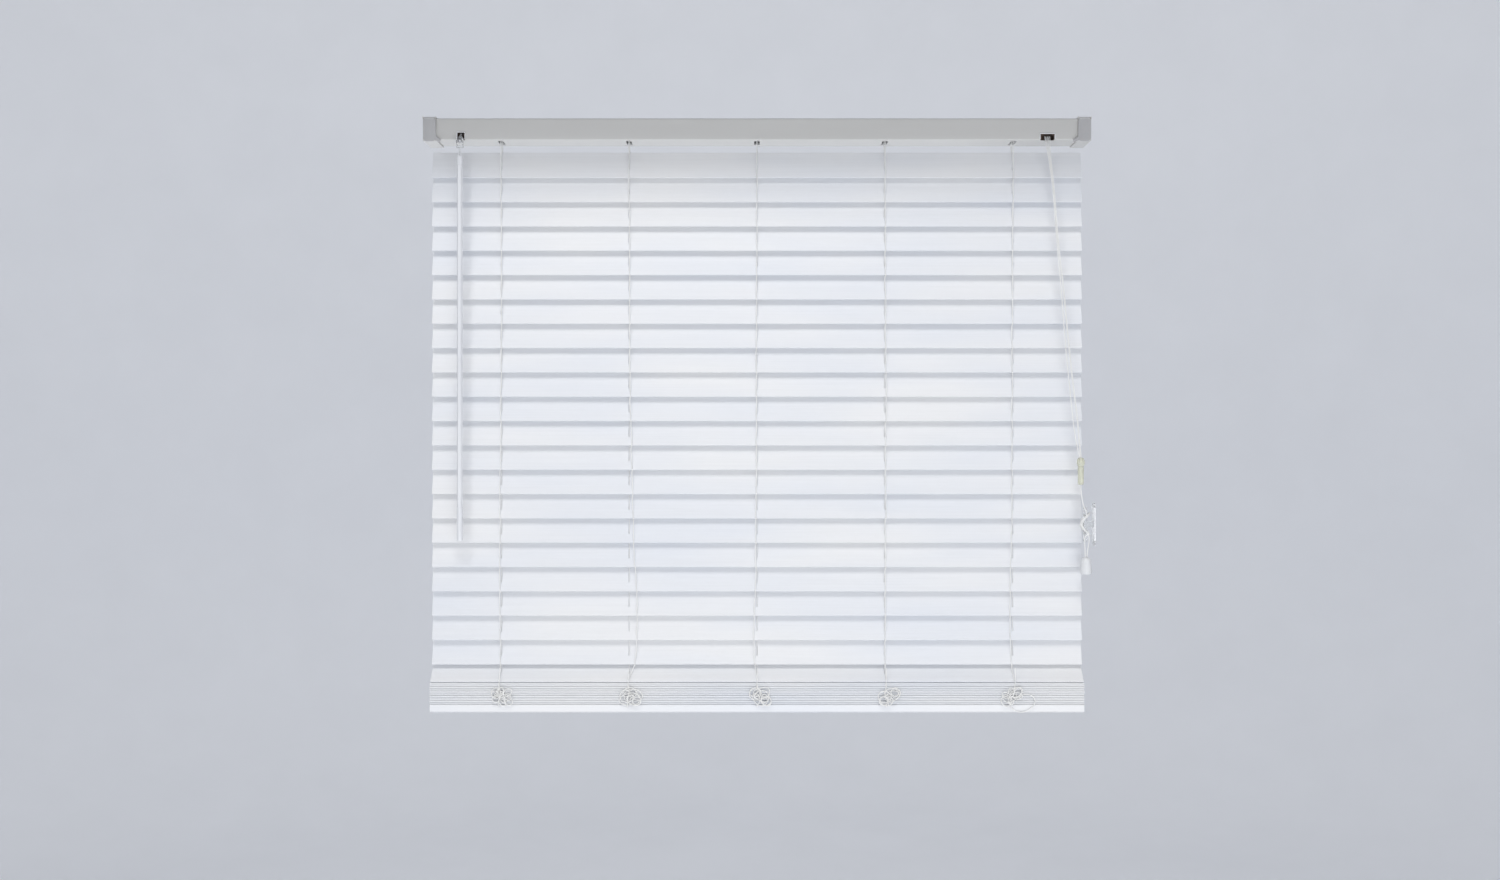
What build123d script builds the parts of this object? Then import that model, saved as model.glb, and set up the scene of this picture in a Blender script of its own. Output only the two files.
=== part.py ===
from build123d import *
import os
from math import cos, pi, radians, sin, tan

# Venetian blind, 120 cm wide, with 50 mm slats. Millimetres.
# Origin: centre of the top plane of the two box brackets, where they meet the ceiling of the recess.
# +X right as seen from the room, +Y towards the window, +Z up, so everything hangs below z = 0.

# ---- driving dimensions ----
blind_wide = 1200
sheet = 1.6

bracket_wide = 24
bracket_deep = 62
bracket_floor = -42.6
bracket_screw_x = 588
bracket_screw_y = 18
bracket_screw_z = (-12, -32)
bracket_screw_r = 2.4

rail_long = 1195
rail_deep = 57
rail_top = -1.9
rail_high = 38.5
rail_sheet = 1.0
rail_mouth = 40
rail_floor_inside = rail_top - rail_high + rail_sheet

ladder_spacing = 232
ladder_xs = [ladder_spacing * n for n in (-2, -1, 0, 1, 2)]
string_r = 0.8
string_y = 8.7
cord_r = 0.7

slat_long = 1178
slat_wide = 50
slat_thick = 2.8
slat_edge_r = 1.3
route_long = 18
route_wide = 3
slat_count = 22
slat_pitch = 44.1
first_slat_z = -81
closed_angle = 75
first_carried_slat = 9

stack_count = 12
stack_pitch = 3.15
stack_top = -1018
bottom_rail_high = 15
bottom_rail_top = stack_top - stack_count * stack_pitch - 0.2
leaning_angle = 46
leaning_pivot = (-20, stack_top + slat_thick / 2 + 0.3)

rod_z = -20
rod_wide = 6
drum_r = 7.5
drum_long = 16
journal_r = 4.4
running_gap = 0.3

tilter_x = -532
stem_r = 3
ball_r = 4
wand_y = -38
hook_z = -44
wand_top = -72
wand_bottom = -760
wand_flats = 8.7

lock_x = 522
lock_roller_r = 3.5

wall_x = 604.5
cleat_z = -731
joiner_x = 579.5
joiner_top = -612
joiner_bottom = -660
tassel_x = 588.8
tassel_top = -790
tail_r = 1.0

os.makedirs("parts", exist_ok=True)


def write(part, name):
    """Label one finished piece and write it to its own file."""
    part.label = name
    export_step(part, f"parts/{name}.step")


def slat_z(number):
    """Height of the axis that a hanging slat tilts about, counted from 1 at the top."""
    return first_slat_z - slat_pitch * (number - 1)


def tilted_plane(y, z, angle):
    """Plane of a slat: its x runs along the blind and its y from the front edge to the back edge."""
    return Plane(
        origin=(0, y, z),
        x_dir=(1, 0, 0),
        z_dir=(0, -sin(radians(angle)), cos(radians(angle))),
    )


def make_slat(plane):
    """One flat slat with rounded long edges and a route slot for each lift cord."""
    with BuildPart() as slat:
        with BuildSketch(plane.offset(-slat_thick / 2)):
            Rectangle(slat_long, slat_wide)
        extrude(amount=slat_thick)
        long_edges = slat.edges().filter_by(Axis.X)
        fillet(long_edges, slat_edge_r)
        with BuildSketch(plane.offset(-slat_thick)):
            with Locations(*[(x, 0) for x in ladder_xs]):
                SlotOverall(route_long, route_wide, rotation=90)
        extrude(amount=2 * slat_thick, mode=Mode.SUBTRACT)
    return slat.part


def corner_radii(points):
    """A radius for each inner point of a cord's route, as large as its two runs allow."""
    corners = [Vector(*p) for p in points]
    radii = []
    for before, here, after in zip(corners, corners[1:], corners[2:]):
        run_in = here - before
        run_out = after - here
        half_turn = radians(run_in.get_angle(run_out)) / 2
        shorter = min(run_in.length, run_out.length)
        radii.append(0.45 * shorter / tan(half_turn))
    return radii


def make_cord(name, points, radius):
    """A round cord along straight runs joined by tangent arcs; prints its radii and its volume."""
    radii = corner_radii(points)
    with BuildPart() as cord:
        with BuildLine():
            path = FilletPolyline(*points, radius=radii)
        with BuildSketch(Plane(origin=path @ 0, z_dir=path % 0)):
            Circle(radius)
        sweep()
    expected = pi * radius**2 * path.length
    print(name, "length", round(path.length, 1), "radii", [round(r, 1) for r in radii])
    print(name, "volume", round(cord.part.volume), "of", round(expected))
    return cord.part


# ---- box brackets, the two ends that carry the headrail ----
bracket_back = bracket_deep / 2
bracket_front = -bracket_deep / 2 + 0.7
gate_axis_y = -32
gate_axis_z = -1.8
lug_front = gate_axis_y - 2
lug_back = bracket_front + 1.2

with BuildPart() as box_brackets:
    for side in (-1, 1):
        outer = side * blind_wide / 2
        middle = side * (blind_wide - bracket_wide) / 2
        inner = outer - side * bracket_wide
        mid_y = (bracket_back + bracket_front) / 2
        long_y = bracket_back - bracket_front
        with Locations((outer - side * sheet / 2, mid_y, bracket_floor / 2)):
            Box(sheet, long_y, -bracket_floor)
        with Locations((middle, mid_y, -sheet / 2), (middle, mid_y, bracket_floor + sheet / 2)):
            Box(bracket_wide, long_y, sheet)
        with Locations((middle, bracket_back - sheet / 2, bracket_floor / 2)):
            Box(bracket_wide, sheet, -bracket_floor)
        # two lugs that hold the pin of the front gate
        for lug_x in (outer - side * sheet / 2, inner + side * sheet / 2):
            with Locations((lug_x, (lug_front + lug_back) / 2, gate_axis_z)):
                Box(sheet, lug_back - lug_front, 3.6)
        with Locations(Location((middle, gate_axis_y, gate_axis_z), (0, 90, 0))):
            Cylinder(1.0, bracket_wide + 2, mode=Mode.SUBTRACT)
        # screw holes: ceiling, side and back
        with Locations(*[(side * bracket_screw_x, y, 0) for y in (-bracket_screw_y, bracket_screw_y)]):
            Cylinder(bracket_screw_r, 4 * sheet, mode=Mode.SUBTRACT)
        side_holes = [Location((outer, y, -22), (0, 90, 0)) for y in (-15, 15)]
        with Locations(*side_holes):
            Cylinder(bracket_screw_r, 4 * sheet, mode=Mode.SUBTRACT)
        back_holes = [
            Location((side * bracket_screw_x, bracket_back, z), (90, 0, 0)) for z in bracket_screw_z
        ]
        with Locations(*back_holes):
            Cylinder(bracket_screw_r, 4 * sheet, mode=Mode.SUBTRACT)
write(box_brackets.part, "box_brackets")

# ---- front gates of the brackets, hinged at their top edge ----
gate_sheet = 1.4
gate_bottom = -44
gate_wide = bracket_wide - 2 * sheet - 1.2
gate_y = gate_axis_y
gate_corner = 5
gate_bevel = 0.6
gate_pin_r = 0.7
gate_eye_r = 1.5
shoulder_wide = 1.8
tab_long = 9

for side, name in ((-1, "gate_left"), (1, "gate_right")):
    middle = side * (blind_wide - bracket_wide) / 2
    with BuildPart() as gate:
        with BuildSketch(Plane.XZ.offset(-gate_y - gate_sheet / 2)):
            with BuildLine():
                half = gate_wide / 2
                low_half = half + shoulder_wide
                Polyline(
                    (middle - half, gate_axis_z),
                    (middle - half, -5.2),
                    (middle - low_half, -6.5),
                    (middle - low_half, gate_bottom + gate_corner),
                    (middle - low_half + gate_corner, gate_bottom),
                    (middle + low_half - gate_corner, gate_bottom),
                    (middle + low_half, gate_bottom + gate_corner),
                    (middle + low_half, -6.5),
                    (middle + half, -5.2),
                    (middle + half, gate_axis_z),
                    close=True,
                )
            make_face()
        extrude(amount=gate_sheet)
        # slanting snap tab at the lower inner corner, for a thumb
        inner_edge = middle - side * low_half
        with BuildSketch(Plane.XZ.offset(-gate_y - gate_sheet / 2)):
            Polygon(
                (inner_edge + 2 * side, gate_bottom + 11),
                (inner_edge - tab_long * side, gate_bottom + 3),
                (inner_edge - (tab_long - 1.5) * side, gate_bottom - 2),
                (inner_edge + 4 * side, gate_bottom + 3),
                align=None,
            )
        extrude(amount=gate_sheet)
        front_rim = gate.faces().sort_by(Axis.Y)[0].edges()
        chamfer(front_rim, gate_bevel)
        with Locations(Location((middle, gate_axis_y, gate_axis_z), (0, 90, 0))):
            Cylinder(gate_eye_r, gate_wide)
            Cylinder(gate_pin_r, bracket_wide - 1)
    write(gate.part, name)

# ---- headrail, a folded steel channel with its mouth up ----
rail_bottom = rail_top - rail_high
rail_middle = rail_top - rail_high / 2
opening_deep = 9
tilter_opening_wide = 12.6
tilter_opening_high = 14
lock_opening_wide = 25
lock_opening_high = 12
floor_slot_long = 34
floor_slot_wide = 10

with BuildPart() as headrail:
    with BuildSketch(Plane.YZ.offset(-rail_long / 2)):
        with Locations((0, rail_middle)):
            RectangleRounded(rail_deep, rail_high, 2)
            RectangleRounded(rail_deep - 2 * rail_sheet, rail_high - 2 * rail_sheet, 1, mode=Mode.SUBTRACT)
        with Locations((0, rail_top)):
            Rectangle(rail_mouth, 4 * rail_sheet, mode=Mode.SUBTRACT)
        # hems that stiffen both lips
        with Locations((-rail_mouth / 2 - 0.5, rail_top - 2.5), (rail_mouth / 2 + 0.5, rail_top - 2.5)):
            Rectangle(rail_sheet, 5)
    extrude(amount=rail_long)
    # a slot in the floor at each ladder, for its strings and its lift cord
    with BuildSketch(Plane.XY.offset(rail_bottom - 1)):
        with Locations(*[(x, 0) for x in ladder_xs]):
            SlotOverall(floor_slot_long, floor_slot_wide, rotation=90)
    extrude(amount=3, mode=Mode.SUBTRACT)
    # corner openings for the tilter's stem and for the pull cords
    with Locations((tilter_x, -rail_deep / 2 + opening_deep / 2 - 1, -34.5)):
        Box(tilter_opening_wide, opening_deep + 2, tilter_opening_high, mode=Mode.SUBTRACT)
    with Locations((lock_x, -rail_deep / 2 + opening_deep / 2 - 1, -36)):
        Box(lock_opening_wide, opening_deep + 2, lock_opening_high, mode=Mode.SUBTRACT)
write(headrail.part, "headrail")

# ---- ladder cradles, which stand on the rail's floor and carry the drums ----
upright_x = 12
upright_thick = 3
cradle_deep = 34
cradle_base_long = 34
cradle_base_deep = 50
cradle_base = 2.5
cradle_top = rod_z + 4

with BuildPart() as ladder_cradles:
    for x in ladder_xs:
        with Locations((x, 0, rail_floor_inside + cradle_base / 2)):
            Box(cradle_base_long, cradle_base_deep, cradle_base)
        upright_high = cradle_top - rail_floor_inside
        with Locations(
            (x - upright_x, 0, rail_floor_inside + upright_high / 2),
            (x + upright_x, 0, rail_floor_inside + upright_high / 2),
        ):
            Box(upright_thick, cradle_deep, upright_high)
        # passage for the lift cords under the drum, and for the strings through the base
        with Locations((x, 0, -33)):
            Box(30, 19, 7.8, mode=Mode.SUBTRACT)
        with Locations((x, 0, rail_floor_inside)):
            Box(floor_slot_wide, floor_slot_long, 6 * cradle_base, mode=Mode.SUBTRACT)
        # open bearing for the drum's journals
        with Locations(Location((x, 0, rod_z), (0, 90, 0))):
            Cylinder(journal_r + running_gap, 30, mode=Mode.SUBTRACT)
        with Locations((x, 0, rod_z + 5)):
            Box(30, 2 * journal_r + 2 * running_gap - 0.8, 10, mode=Mode.SUBTRACT)
write(ladder_cradles.part, "ladder_cradles")

# ---- tilt rod and its drums, which turn together ----
rod_left = -512
rod_right = 486

with BuildPart() as tilt_rod:
    with BuildSketch(Plane.YZ.offset(rod_left)):
        with Locations((0, rod_z)):
            RectangleRounded(rod_wide, rod_wide, 0.6)
    extrude(amount=rod_right - rod_left)
write(tilt_rod.part, "tilt_rod")

with BuildPart() as tilt_drums:
    for x in ladder_xs:
        with Locations(Location((x, 0, rod_z), (0, 90, 0))):
            Cylinder(drum_r, drum_long)
            Cylinder(journal_r, 2 * upright_x + 6)
        with Locations((x, 0, rod_z)):
            Box(60, rod_wide + 0.1, rod_wide + 0.1, mode=Mode.SUBTRACT)
write(tilt_drums.part, "tilt_drums")

# ---- wand tilter: gearbox in the rail, stem, hook and wand ----
tilter_long = 44
tilter_top = -7
tilter_y = (-22, 20)
stem_lean = 45
stem_long = 31
stem_tip = Vector(tilter_x, wand_y, hook_z)
stem_back = stem_tip + Vector(0, sin(radians(stem_lean)), cos(radians(stem_lean))) * stem_long
stem_direction = (0, -sin(radians(stem_lean)), -cos(radians(stem_lean)))
stem_plane = Plane(origin=stem_back, z_dir=stem_direction)

with BuildPart() as wand_tilter:
    with Locations((
        tilter_x,
        (tilter_y[0] + tilter_y[1]) / 2,
        (tilter_top + rail_floor_inside) / 2,
    )):
        Box(tilter_long, tilter_y[1] - tilter_y[0], tilter_top - rail_floor_inside)
    upper_edges = wand_tilter.faces().sort_by(Axis.Z)[-1].edges()
    fillet(upper_edges, 3)
    with Locations(Location((tilter_x + tilter_long / 2, 0, rod_z), (0, 90, 0))):
        Cylinder(rod_wide * 0.8, 20, mode=Mode.SUBTRACT)
    with BuildSketch(stem_plane.offset(-1)):
        Circle(stem_r + running_gap)
    extrude(amount=stem_long, mode=Mode.SUBTRACT)
write(wand_tilter.part, "wand_tilter")

with BuildPart() as tilter_stem:
    with BuildSketch(stem_plane):
        Circle(stem_r)
    extrude(amount=stem_long)
    with Locations(stem_tip):
        Sphere(ball_r)
    with BuildSketch(stem_plane.offset(stem_long - 9)):
        Circle(stem_r + 1)
    extrude(amount=2)
write(tilter_stem.part, "tilter_stem")

ear_inside = ball_r + 0.5
ear_thick = 1.6
bridge_z = hook_z - 11
neck_r = 1.5
button_r = 3.0

with BuildPart() as wand_hook:
    for side in (-1, 1):
        ear_x = tilter_x + side * (ear_inside + ear_thick / 2)
        with Locations(Location((ear_x, wand_y, hook_z), (0, 90, 0))):
            Cylinder(4.5, ear_thick)
        with Locations((ear_x, wand_y, (hook_z + bridge_z) / 2)):
            Box(ear_thick, 6, hook_z - bridge_z)
    with Locations((tilter_x, wand_y, bridge_z)):
        Box(2 * (ear_inside + ear_thick), 6, 3)
    neck_bottom = wand_top - 5
    with BuildSketch(Plane.XY.offset(neck_bottom)):
        with Locations((tilter_x, wand_y)):
            Circle(neck_r)
    extrude(amount=bridge_z - neck_bottom)
    with Locations((tilter_x, wand_y, neck_bottom)):
        Cylinder(button_r, 2)
write(wand_hook.part, "wand_hook")

cap_long = 16
cap_r = 5.3
grip_high = 60

with BuildPart() as tilt_wand:
    with BuildSketch(Plane.XY.offset(wand_bottom)):
        with Locations((tilter_x, wand_y)):
            RegularPolygon(wand_flats / 2, 6, major_radius=False)
    extrude(amount=wand_top - cap_long + 4 - wand_bottom)
    with BuildSketch(Plane.XY.offset(wand_top - cap_long)):
        with Locations((tilter_x, wand_y)):
            Circle(cap_r)
    extrude(amount=cap_long)
    # chamber and neck hole in which the hook's button turns
    with BuildSketch(Plane.XY.offset(wand_top - 9)):
        with Locations((tilter_x, wand_y)):
            Circle(button_r + 0.4)
    extrude(amount=6.5, mode=Mode.SUBTRACT)
    with BuildSketch(Plane.XY.offset(wand_top - 4)):
        with Locations((tilter_x, wand_y)):
            Circle(neck_r + 0.4)
    extrude(amount=6, mode=Mode.SUBTRACT)
    # thicker grip at the lower end
    with BuildSketch(Plane.XY.offset(wand_bottom)):
        with Locations((tilter_x, wand_y)):
            Circle(wand_flats / 2 + 0.9)
    extrude(amount=grip_high)
write(tilt_wand.part, "tilt_wand")

# ---- cord lock: housing behind the corner opening, and its roller ----
lock_long = 44
lock_y = (-26.4, 14)
lock_top = -9
roller_z = -27
roller_y = -19.5
roller_long = 12
lock_left = lock_x - lock_long / 2

with BuildPart() as cord_lock:
    with Locations((lock_x, (lock_y[0] + lock_y[1]) / 2, (lock_top + rail_floor_inside) / 2)):
        Box(lock_long, lock_y[1] - lock_y[0], lock_top - rail_floor_inside)
    upper_edges = cord_lock.faces().sort_by(Axis.Z)[-1].edges()
    fillet(upper_edges, 3)
    # cavity behind the opening, in which the roller pinches the cords
    with Locations((lock_x, -20, -31)):
        Box(22, 16, 22, mode=Mode.SUBTRACT)
    with Locations((lock_x, lock_y[0], -36)):
        Box(22, 6, 12, mode=Mode.SUBTRACT)
    # rim that lines the opening in the rail, open at the bottom where the cords leave
    with BuildSketch(Plane.XZ.offset(-lock_y[0] - 0.1)):
        with Locations((lock_x, -35.5)):
            RectangleRounded(24.4, 9, 1)
        with Locations((lock_x, -36.9)):
            Rectangle(21.6, 9, mode=Mode.SUBTRACT)
    extrude(amount=3)
write(cord_lock.part, "cord_lock")

with BuildPart() as lock_roller:
    with BuildSketch(Plane.XZ.offset(-roller_y - roller_long / 2)):
        with Locations((lock_x - lock_roller_r - cord_r - 3, roller_z)):
            Circle(lock_roller_r)
    extrude(amount=roller_long)
    roller_rims = lock_roller.edges().filter_by(GeomType.CIRCLE)
    chamfer(roller_rims, 0.5)
write(lock_roller.part, "lock_roller")

# ---- hanging slats, closed with their front edges down, and the last one leaning on the stack ----
for number in range(1, slat_count):
    write(make_slat(tilted_plane(0, slat_z(number), closed_angle)), f"slat_{number:02d}")

leaning_y = leaning_pivot[0] + slat_wide / 2 * cos(radians(leaning_angle))
leaning_z = leaning_pivot[1] + slat_wide / 2 * sin(radians(leaning_angle))
write(make_slat(tilted_plane(leaning_y, leaning_z, leaning_angle)), f"slat_{slat_count}")

# ---- the slats that lie stacked on the bottom rail, each a little out of line ----
stack_shift = (0.4, 0.9)

with BuildPart() as stacked_slats:
    for place in range(stack_count):
        shift_x = stack_shift[0] * sin(1.7 * place)
        shift_y = stack_shift[1] * sin(2.4 * place)
        place_z = stack_top - slat_thick / 2 - place * stack_pitch
        add(make_slat(Plane((shift_x, shift_y, place_z))))
write(stacked_slats.part, "stacked_slats")

# ---- bottom rail, bored under each ladder for the knot of its lift cord ----
knot_r = 2.4
knot_bore = 5
knot_bore_deep = 7
bottom_rail_bottom = bottom_rail_top - bottom_rail_high

with BuildPart() as bottom_rail:
    with BuildSketch(Plane.YZ.offset(-slat_long / 2)):
        with Locations((0, bottom_rail_top - bottom_rail_high / 2)):
            RectangleRounded(slat_wide, bottom_rail_high, 3)
    extrude(amount=slat_long)
    with BuildSketch(Plane.XY.offset(bottom_rail_bottom - 1)):
        with Locations(*[(x, 0) for x in ladder_xs]):
            Circle(cord_r + 1)
    extrude(amount=bottom_rail_high + 2, mode=Mode.SUBTRACT)
    with BuildSketch(Plane.XY.offset(bottom_rail_bottom - 1)):
        with Locations(*[(x, 0) for x in ladder_xs]):
            Circle(knot_bore)
    extrude(amount=knot_bore_deep + 1, mode=Mode.SUBTRACT)
write(bottom_rail.part, "bottom_rail")

# ---- lift cords, one length per slat space, so that each length can follow its own slat ----
join_gap = 0.2

for number in range(first_carried_slat, slat_count - 1):
    with BuildPart() as lift_cord:
        with BuildSketch(Plane.XY.offset(slat_z(number + 1) + join_gap)):
            with Locations(*[(x, 0) for x in ladder_xs]):
                Circle(cord_r)
        extrude(amount=slat_pitch - 2 * join_gap)
    write(lift_cord.part, f"lift_cord_{number:02d}")

knot_z = bottom_rail_bottom + knot_bore_deep - knot_r - 0.8
with BuildPart() as lift_cord_ends:
    with BuildSketch(Plane.XY.offset(knot_z)):
        with Locations(*[(x, 0) for x in ladder_xs]):
            Circle(cord_r)
    extrude(amount=slat_z(slat_count - 1) - join_gap - knot_z)
    with Locations(*[(x, 0, knot_z) for x in ladder_xs]):
        Sphere(knot_r)
write(lift_cord_ends.part, "lift_cord_21")

# top lengths: up through the rail's floor, then along the rail to the cord lock, each in its own lane
lane_z = -33.5
lanes = [5, 2.5, -5, -2.5, 0]
top_end = slat_z(first_carried_slat) + join_gap

with BuildPart() as lift_cord_top:
    for x, lane in zip(ladder_xs, lanes):
        add(make_cord(
            f"lift cord at {x}",
            [
                (x, 0, top_end),
                (x, 0, lane_z),
                (x + 12 + 2.3 * abs(lane), lane, lane_z),
                (lock_left, lane * 0.9, lane_z + 0.4),
            ],
            cord_r,
        ))
write(lift_cord_top.part, "lift_cord_01")

# ---- ladder strings in front of the slats and behind them ----
front_top = slat_z(1) - 11
front_bottom = slat_z(slat_count - 1) - slat_wide / 2
back_top = rail_top - 5
back_bottom = slat_z(slat_count - 1) + slat_wide / 2 - 1

for name, y, low, high in (
    ("ladder_front", -string_y, front_bottom, front_top),
    ("ladder_back", string_y, back_bottom, back_top),
):
    with BuildPart() as ladder:
        with BuildSketch(Plane.XY.offset(low)):
            with Locations(*[(x, y) for x in ladder_xs]):
                Circle(string_r)
        extrude(amount=high - low)
    write(ladder.part, name)

# slack of the ladder strings, bunched in front of the stack and behind it
slack_wide = 54
slack_high = 50
slack_thick = 5
slack_gap = 1.6
slack_y = -slat_wide / 2 - slack_gap - slack_thick / 2
slack_z = stack_top - 1 - slack_high / 2
right_slack_wide = 66
right_slack_high = 56

with BuildPart() as ladder_slack:
    with BuildSketch(Plane.XZ.offset(-slack_y - slack_thick / 2)):
        with Locations(*[(x, slack_z) for x in ladder_xs[:-1]]):
            RectangleRounded(slack_wide, slack_high, 12)
        with Locations((ladder_xs[-1] + 4, slack_z - 3)):
            RectangleRounded(right_slack_wide, right_slack_high, 14)
    extrude(amount=slack_thick)
    with BuildSketch(Plane.XZ.offset(slack_y - slack_thick / 2)):
        with Locations(*[(x, slack_z) for x in ladder_xs]):
            RectangleRounded(slack_wide, slack_high, 12)
    extrude(amount=slack_thick)
write(ladder_slack.part, "ladder_slack")

# ---- pull cords: five strands in a tight bundle, two apart from three lower down, into the joiner ----
strand_runs = [
    # height, x of the middle strand, y, step from strand to strand, half the gap between the groups
    (-34, 522, -25.5, 2.2, 0),
    (-43, 522.4, -29.5, 2.0, 0),
    (-58, 523.6, -30.9, 1.5, 0),
    (-84, 526.8, -31.6, 1.0, 0),
    (-130, 532.5, -31.9, 0.75, 0),
    (-190, 536.6, -32.6, 0.75, 0.1),
    (-250, 541.6, -33.0, 0.75, 0.4),
    (-308, 548, -33.8, 0.75, 1.1),
    (-362, 552, -34.2, 0.75, 1.5),
    (-420, 557, -35.0, 0.75, 2.1),
    (-480, 563.2, -35.3, 0.75, 2.3),
    (-540, 570, -36.2, 0.75, 3.2),
    (-578, 573.6, -37.0, 0.75, 2.0),
    (-600, 577.2, -37.5, 0.75, 0.8),
]
strand_groups = (-1, -1, 1, 1, 1)
strand_backs = (0, 1.3, 0, 1.3, 0)
joiner_hole_r = 3.2
joiner_hole_deep = 4

with BuildPart() as pull_cords:
    for strand, (group, back) in enumerate(zip(strand_groups, strand_backs)):
        place = strand - 2
        route = [
            (x + step * place + spread * group, y + back, z)
            for z, x, y, step, spread in strand_runs
        ]
        route.append((joiner_x + 0.75 * place, wand_y + back - 0.6, joiner_top - joiner_hole_deep))
        add(make_cord(f"pull cord strand {strand}", route, cord_r))
write(pull_cords.part, "pull_cords")

with BuildPart() as cord_joiner:
    with BuildSketch(Plane.XZ.offset(-wand_y)):
        with BuildLine():
            Polyline((joiner_x, joiner_top), (joiner_x + 4.4, joiner_top))
            ThreePointArc(
                (joiner_x + 4.4, joiner_top),
                (joiner_x + 7, joiner_top - 8),
                (joiner_x + 4.6, joiner_top - 16),
            )
            Polyline(
                (joiner_x + 4.6, joiner_top - 16),
                (joiner_x + 5.5, joiner_top - 18),
                (joiner_x + 5.2, joiner_bottom + 2),
                (joiner_x + 3.6, joiner_bottom),
                (joiner_x, joiner_bottom),
                (joiner_x, joiner_top),
            )
        make_face()
    revolve(axis=Axis((joiner_x, wand_y, 0), (0, 0, 1)))
    with BuildSketch(Plane.XY.offset(joiner_top - joiner_hole_deep)):
        with Locations((joiner_x, wand_y)):
            Circle(joiner_hole_r)
    extrude(amount=joiner_hole_deep + 1, mode=Mode.SUBTRACT)
write(cord_joiner.part, "cord_joiner")

# ---- cleat on the side of the recess, and the cord wound on it ----
cleat_base_long = 76
cleat_base_wide = 16
cleat_base_thick = 3
cleat_screw_gap = 64
cleat_screw_r = 2.2
post_wide = 10
horn_long = 62
horn_x = (584, 590)
cleat_inner_x = wall_x - cleat_base_thick

with BuildPart() as cord_cleat:
    with BuildSketch(Plane(origin=(cleat_inner_x, wand_y, cleat_z), x_dir=(0, 0, 1), z_dir=(1, 0, 0))):
        SlotOverall(cleat_base_long, cleat_base_wide)
        with Locations((-cleat_screw_gap / 2, 0), (cleat_screw_gap / 2, 0)):
            Circle(cleat_screw_r, mode=Mode.SUBTRACT)
    extrude(amount=cleat_base_thick)
    with Locations(((cleat_inner_x + horn_x[0]) / 2 + 1, wand_y, cleat_z)):
        Box(cleat_inner_x - horn_x[0] - 2, post_wide, post_wide)
    with BuildSketch(Plane(origin=(horn_x[0], wand_y, cleat_z), x_dir=(0, 0, 1), z_dir=(1, 0, 0))):
        SlotOverall(horn_long, post_wide)
    extrude(amount=horn_x[1] - horn_x[0])
    horn_rims = cord_cleat.faces().sort_by(Axis.X)[0].edges()
    fillet(horn_rims, 2)
write(cord_cleat.part, "cord_cleat")

winding_x = (577.5, 601)
winding_wide = 23.4
winding_high = 44
winding_gap = 0.2

with BuildPart() as cleat_winding:
    with Locations(((winding_x[0] + winding_x[1]) / 2, wand_y, cleat_z)):
        Box(winding_x[1] - winding_x[0], winding_wide, winding_high)
    fillet(cleat_winding.edges(), 4)
    with Locations(((horn_x[0] + winding_x[1]) / 2, wand_y, cleat_z)):
        Box(
            winding_x[1] - horn_x[0] + 2,
            post_wide + 2 * winding_gap,
            post_wide + 2 * winding_gap,
            mode=Mode.SUBTRACT,
        )
    with Locations(((horn_x[0] + horn_x[1]) / 2, wand_y, cleat_z)):
        Box(
            horn_x[1] - horn_x[0] + 2 * winding_gap,
            post_wide + 2 * winding_gap,
            horn_long,
            mode=Mode.SUBTRACT,
        )
write(cleat_winding.part, "cleat_winding")

# ---- tail cord: from the joiner to the winding, and from the winding to the tassel ----
winding_top = cleat_z + winding_high / 2
winding_bottom = cleat_z - winding_high / 2
tail_y = wand_y - 8
tail_routes = [
    [
        (joiner_x, wand_y, joiner_bottom),
        (joiner_x + 0.4, wand_y - 0.6, joiner_bottom - 14),
        (joiner_x + 3.2, wand_y - 4.2, joiner_bottom - 36),
        (joiner_x + 8.5, tail_y, winding_top),
    ],
    [
        (584.2, tail_y, winding_bottom),
        (584.8, tail_y + 1.0, winding_bottom - 12),
        (586.8, wand_y - 1.6, tassel_top + 12.5),
        (587.5, wand_y, tassel_top - 3),
    ],
    [
        (592.6, tail_y, winding_bottom),
        (592.4, tail_y + 1.0, winding_bottom - 12),
        (590.9, wand_y - 1.6, tassel_top + 12.5),
        (590.1, wand_y, tassel_top - 3),
    ],
]

with BuildPart() as tail_cord:
    for route in tail_routes:
        add(make_cord("tail cord", route, tail_r))
write(tail_cord.part, "tail_cord")

tassel_r = 10.5
tassel_high = 30
tassel_hole_r = 2.8
tassel_hollow_r = 7.5

with BuildPart() as cord_tassel:
    with BuildSketch(Plane.XZ.offset(-wand_y)):
        with BuildLine():
            Polyline((tassel_x, tassel_top), (tassel_x + 3.8, tassel_top))
            ThreePointArc(
                (tassel_x + 3.8, tassel_top),
                (tassel_x + 7.8, tassel_top - 3),
                (tassel_x + 9.2, tassel_top - 9),
            )
            Polyline(
                (tassel_x + 9.2, tassel_top - 9),
                (tassel_x + tassel_r, tassel_top - 26),
                (tassel_x + tassel_r - 0.8, tassel_top - tassel_high),
                (tassel_x, tassel_top - tassel_high),
                (tassel_x, tassel_top),
            )
        make_face()
    revolve(axis=Axis((tassel_x, wand_y, 0), (0, 0, 1)))
    with BuildSketch(Plane.XY.offset(tassel_top - 3)):
        with Locations((tassel_x, wand_y)):
            Circle(tassel_hole_r)
    extrude(amount=4, mode=Mode.SUBTRACT)
    with BuildSketch(Plane.XY.offset(tassel_top - tassel_high - 1)):
        with Locations((tassel_x, wand_y)):
            Circle(tassel_hollow_r)
    extrude(amount=16, mode=Mode.SUBTRACT)
write(cord_tassel.part, "cord_tassel")
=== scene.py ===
import random
from math import cos, pi, radians, sin, tau

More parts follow.
